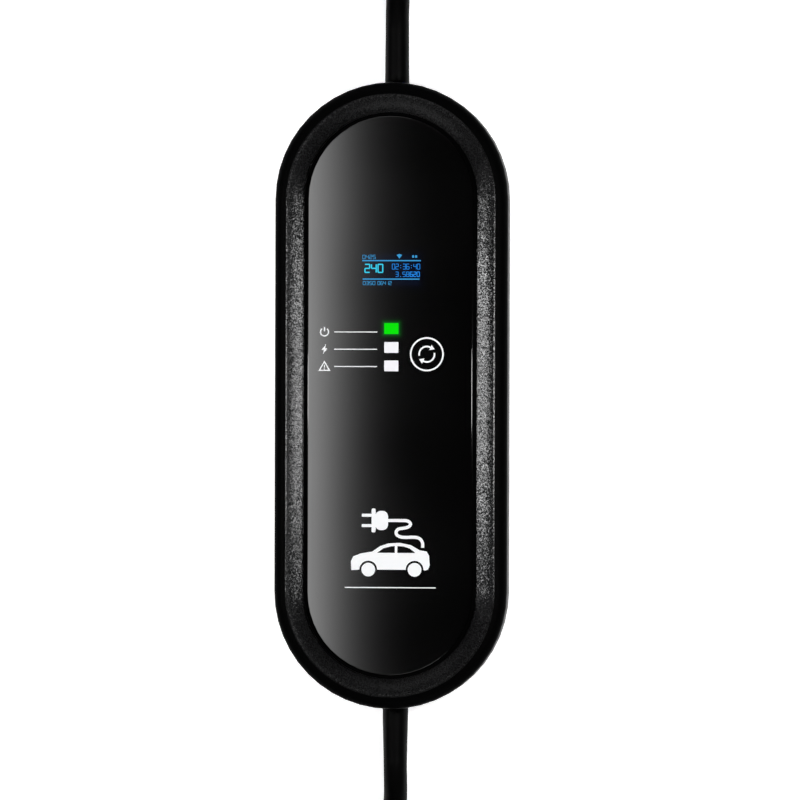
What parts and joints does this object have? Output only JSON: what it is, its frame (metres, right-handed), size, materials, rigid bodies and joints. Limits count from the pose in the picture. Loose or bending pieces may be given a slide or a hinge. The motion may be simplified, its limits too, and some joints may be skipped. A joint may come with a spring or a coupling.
{
  "type": "portable ev charger",
  "caption": "Control box for charging an electric car from a wall socket, with a glossy front panel, a supply lead with its plug and a hanked vehicle cable.",
  "frame": {"origin": "middle of the control box's back face", "axes": "+Z out of the front panel, +Y towards the supply lead, +X to the panel's right"},
  "size_m": [0.1177, 0.8245, 0.0962],
  "materials": {
    "black_shell": "satin",
    "smoked_panel": "gloss",
    "black_rubber": "matte",
    "cable_sheath": "satin",
    "adhesive_foam": "matte",
    "circuit_board": "satin",
    "display_glass": "gloss",
    "light_diffuser": "satin",
    "plated_steel": "satin",
    "nickel_brass": "satin",
    "capacitor_can": "satin",
    "relay_case": "satin",
    "black_moulding": "matte",
    "component_yellow": "satin",
    "terminal_green": "satin",
    "plug_grey": "matte",
    "plug_blue": "satin",
    "woven_strap": "matte",
    "ribbon_grey": "satin",
    "wire_brown": "satin",
    "wire_blue": "satin",
    "wire_earth": "satin",
    "wire_black": "satin"
  },
  "bodies": {
    "root": {"rear_housing": "black_shell", "front_housing": "black_shell", "housing_gasket": "black_rubber", "front_panel": "smoked_panel", "panel_adhesive": "adhesive_foam", "display_board": "circuit_board", "display_module": "display_glass", "light_guide_power": "light_diffuser", "light_guide_charging": "light_diffuser", "light_guide_fault": "light_diffuser", "touch_spring": "plated_steel", "display_cable": "ribbon_grey", "main_board": "circuit_board", "relay_line": "relay_case", "relay_neutral": "relay_case", "residual_current_coil": "component_yellow", "power_module": "black_moulding", "filter_capacitor": "component_yellow", "bulk_capacitor": "capacitor_can", "terminal_block_supply": "terminal_green", "terminal_block_vehicle": "terminal_green", "supply_wire_line": "wire_brown", "supply_wire_neutral": "wire_blue", "supply_wire_earth": "wire_earth", "vehicle_wire_line": "wire_brown", "vehicle_wire_neutral": "wire_blue", "vehicle_wire_earth": "wire_earth", "vehicle_wire_pilot": "wire_black", "supply_strain_relief": "black_rubber", "vehicle_strain_relief": "black_rubber", "supply_cord": "cable_sheath", "vehicle_cable": "cable_sheath", "vehicle_cable_hank": "cable_sheath", "vehicle_cable_tail": "cable_sheath", "hank_strap": "woven_strap", "plug_shroud": "plug_blue", "plug_housing": "plug_grey", "plug_gland_nut": "plug_grey", "plug_pin_earth": "nickel_brass", "plug_pin_line": "nickel_brass", "plug_pin_neutral": "nickel_brass", "connector_body": "black_moulding", "connector_nose": "black_moulding", "connector_boot": "black_rubber", "housing_screw_1": "plated_steel", "housing_screw_2": "plated_steel", "housing_screw_3": "plated_steel", "housing_screw_4": "plated_steel", "housing_screw_5": "plated_steel", "housing_screw_6": "plated_steel", "board_screw_1": "plated_steel", "board_screw_2": "plated_steel", "board_screw_3": "plated_steel", "board_screw_4": "plated_steel", "connector_contact_earth": "nickel_brass", "connector_contact_line": "nickel_brass", "connector_contact_neutral": "nickel_brass", "connector_contact_pilot": "nickel_brass", "connector_contact_proximity": "nickel_brass"}
  },
  "joints": []
}
